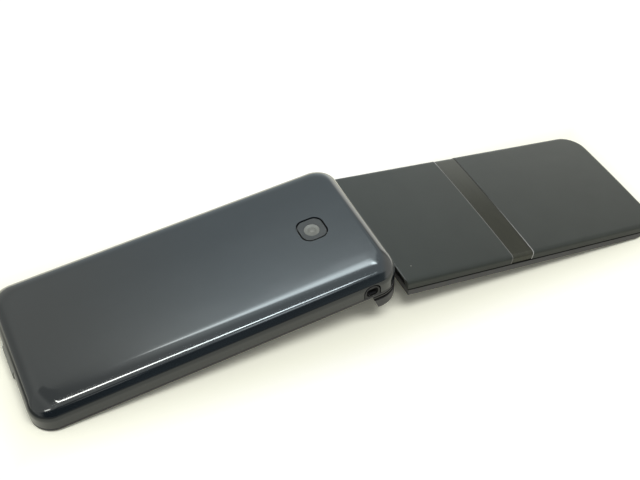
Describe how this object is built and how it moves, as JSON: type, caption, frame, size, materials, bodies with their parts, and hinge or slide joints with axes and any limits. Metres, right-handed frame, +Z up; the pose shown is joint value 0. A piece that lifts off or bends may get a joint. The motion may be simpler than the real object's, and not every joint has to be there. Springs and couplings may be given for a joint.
{
  "type": "flip phone",
  "caption": "Slim flip phone, open and face down, with a glossy back cover, an outer window band, a keypad, a display, a clicking lid hinge and keys that travel.",
  "frame": {"origin": "on the ground, under the middle of the phone's length and width, in its open resting pose", "axes": "+X from the base to the tip of the lid, +Z up, +Y away from the side with the strap eye"},
  "size_m": [0.2196, 0.051, 0.0249],
  "materials": {
    "cover_gloss": "deep blue-black gloss coat over the moulding",
    "lid_satin": "satin grey-black coat",
    "lid_inner": "satin dark grey moulding",
    "case_satin": "satin dark grey moulding",
    "case_inner": "fine-textured black moulding",
    "band_window": "smoked clear window",
    "window_dark": "polished dark window",
    "bezel": "satin black",
    "key_cap": "glossy key caps with pale figures",
    "key_ring": "spun metal-look ring",
    "soft_rubber": "matt rubber",
    "black_part": "plain black",
    "board": "solder-masked board",
    "battery_wrap": "plain wrap",
    "film": "amber film",
    "steel": "stamped steel"
  },
  "bodies": {
    "base": {"rear_case": "case_inner", "front_case": "case_satin", "hinge_cap_near": "case_satin", "hinge_cap_far": "case_satin", "hinge_unit": "steel", "hinge_pin": "steel", "main_board": "board", "antenna": "case_inner", "vibration_motor": "steel", "shield_can": "steel", "loudspeaker": "black_part", "battery_contacts": "black_part", "card_holder": "steel", "charging_connector": "steel", "microphone": "steel", "battery": "battery_wrap", "camera_module": "black_part", "camera_bezel": "bezel", "camera_window": "window_dark", "case_screws": "steel", "dome_sheet": "film", "keypad_mat": "soft_rubber"},
    "lid": {"lid_outer_case": "lid_satin", "outside_window": "band_window", "lid_inner_case": "lid_inner", "display_window": "window_dark", "display_module": "black_part", "outside_display": "black_part", "lid_board": "board", "earpiece": "black_part", "earpiece_mesh": "steel", "lid_magnet": "steel", "hinge_flex": "film", "rubber_bumpers": "soft_rubber", "screw_plugs": "soft_rubber", "lid_screws": "steel", "hinge_shaft": "steel"},
    "back_cover": {"back_cover": "cover_gloss"},
    "port_cover": {"port_cover": "cover_gloss"},
    "key_star": {"key_star": "key_cap"},
    "key_zero": {"key_zero": "key_cap"},
    "key_hash": {"key_hash": "key_cap"},
    "key_seven": {"key_seven": "key_cap"},
    "key_eight": {"key_eight": "key_cap"},
    "key_nine": {"key_nine": "key_cap"},
    "key_four": {"key_four": "key_cap"},
    "key_five": {"key_five": "key_cap"},
    "key_six": {"key_six": "key_cap"},
    "key_one": {"key_one": "key_cap"},
    "key_two": {"key_two": "key_cap"},
    "key_three": {"key_three": "key_cap"},
    "key_call": {"key_call": "key_cap"},
    "key_clear": {"key_clear": "key_cap"},
    "key_end": {"key_end": "key_cap"},
    "key_mail": {"key_mail": "key_cap"},
    "key_menu": {"key_menu": "key_cap"},
    "key_web": {"key_web": "key_cap"},
    "key_book": {"key_book": "key_cap"},
    "key_ring": {"key_ring": "key_ring"},
    "key_centre": {"key_centre": "key_ring"}
  },
  "joints": [
    {"name": "lid_hinge", "type": "hinge", "parent": "base", "child": "lid", "pos_m": [0.00035, 0, 0.01281], "axis": [0, 1, 0], "range_deg": [0, 166]},
    {"name": "back_cover_lift", "type": "slide", "parent": "base", "child": "back_cover", "axis": [-0.1455, 0, 0.9894], "range_m": [0, 0.014]},
    {"name": "port_cover_swing", "type": "hinge", "parent": "base", "child": "port_cover", "pos_m": [-0.10889, 0.00455, 0.00346], "axis": [0.1455, 0, -0.9894], "range_deg": [0, 95]},
    {"name": "key_star_press", "type": "slide", "parent": "base", "child": "key_star", "axis": [-0.1455, 0, 0.9894], "range_m": [0, 0.0003], "stiffness_N_per_m": 400, "springref_m": -0.0004},
    {"name": "key_zero_press", "type": "slide", "parent": "base", "child": "key_zero", "axis": [-0.1455, 0, 0.9894], "range_m": [0, 0.0003], "stiffness_N_per_m": 400, "springref_m": -0.0004},
    {"name": "key_hash_press", "type": "slide", "parent": "base", "child": "key_hash", "axis": [-0.1455, 0, 0.9894], "range_m": [0, 0.0003], "stiffness_N_per_m": 400, "springref_m": -0.0004},
    {"name": "key_seven_press", "type": "slide", "parent": "base", "child": "key_seven", "axis": [-0.1455, 0, 0.9894], "range_m": [0, 0.0003], "stiffness_N_per_m": 400, "springref_m": -0.0004},
    {"name": "key_eight_press", "type": "slide", "parent": "base", "child": "key_eight", "axis": [-0.1455, 0, 0.9894], "range_m": [0, 0.0003], "stiffness_N_per_m": 400, "springref_m": -0.0004},
    {"name": "key_nine_press", "type": "slide", "parent": "base", "child": "key_nine", "axis": [-0.1455, 0, 0.9894], "range_m": [0, 0.0003], "stiffness_N_per_m": 400, "springref_m": -0.0004},
    {"name": "key_four_press", "type": "slide", "parent": "base", "child": "key_four", "axis": [-0.1455, 0, 0.9894], "range_m": [0, 0.0003], "stiffness_N_per_m": 400, "springref_m": -0.0004},
    {"name": "key_five_press", "type": "slide", "parent": "base", "child": "key_five", "axis": [-0.1455, 0, 0.9894], "range_m": [0, 0.0003], "stiffness_N_per_m": 400, "springref_m": -0.0004},
    {"name": "key_six_press", "type": "slide", "parent": "base", "child": "key_six", "axis": [-0.1455, 0, 0.9894], "range_m": [0, 0.0003], "stiffness_N_per_m": 400, "springref_m": -0.0004},
    {"name": "key_one_press", "type": "slide", "parent": "base", "child": "key_one", "axis": [-0.1455, 0, 0.9894], "range_m": [0, 0.0003], "stiffness_N_per_m": 400, "springref_m": -0.0004},
    {"name": "key_two_press", "type": "slide", "parent": "base", "child": "key_two", "axis": [-0.1455, 0, 0.9894], "range_m": [0, 0.0003], "stiffness_N_per_m": 400, "springref_m": -0.0004},
    {"name": "key_three_press", "type": "slide", "parent": "base", "child": "key_three", "axis": [-0.1455, 0, 0.9894], "range_m": [0, 0.0003], "stiffness_N_per_m": 400, "springref_m": -0.0004},
    {"name": "key_call_press", "type": "slide", "parent": "base", "child": "key_call", "axis": [-0.1455, 0, 0.9894], "range_m": [0, 0.0003], "stiffness_N_per_m": 400, "springref_m": -0.0004},
    {"name": "key_clear_press", "type": "slide", "parent": "base", "child": "key_clear", "axis": [-0.1455, 0, 0.9894], "range_m": [0, 0.0003], "stiffness_N_per_m": 400, "springref_m": -0.0004},
    {"name": "key_end_press", "type": "slide", "parent": "base", "child": "key_end", "axis": [-0.1455, 0, 0.9894], "range_m": [0, 0.0003], "stiffness_N_per_m": 400, "springref_m": -0.0004},
    {"name": "key_mail_press", "type": "slide", "parent": "base", "child": "key_mail", "axis": [-0.1455, 0, 0.9894], "range_m": [0, 0.0003], "stiffness_N_per_m": 400, "springref_m": -0.0004},
    {"name": "key_menu_press", "type": "slide", "parent": "base", "child": "key_menu", "axis": [-0.1455, 0, 0.9894], "range_m": [0, 0.0003], "stiffness_N_per_m": 400, "springref_m": -0.0004},
    {"name": "key_web_press", "type": "slide", "parent": "base", "child": "key_web", "axis": [-0.1455, 0, 0.9894], "range_m": [0, 0.0003], "stiffness_N_per_m": 400, "springref_m": -0.0004},
    {"name": "key_book_press", "type": "slide", "parent": "base", "child": "key_book", "axis": [-0.1455, 0, 0.9894], "range_m": [0, 0.0003], "stiffness_N_per_m": 400, "springref_m": -0.0004},
    {"name": "key_ring_press", "type": "slide", "parent": "base", "child": "key_ring", "axis": [-0.1455, 0, 0.9894], "range_m": [0, 0.0003], "stiffness_N_per_m": 400, "springref_m": -0.0004},
    {"name": "key_centre_press", "type": "slide", "parent": "base", "child": "key_centre", "axis": [-0.1455, 0, 0.9894], "range_m": [0, 0.0003], "stiffness_N_per_m": 400, "springref_m": -0.0004}
  ]
}
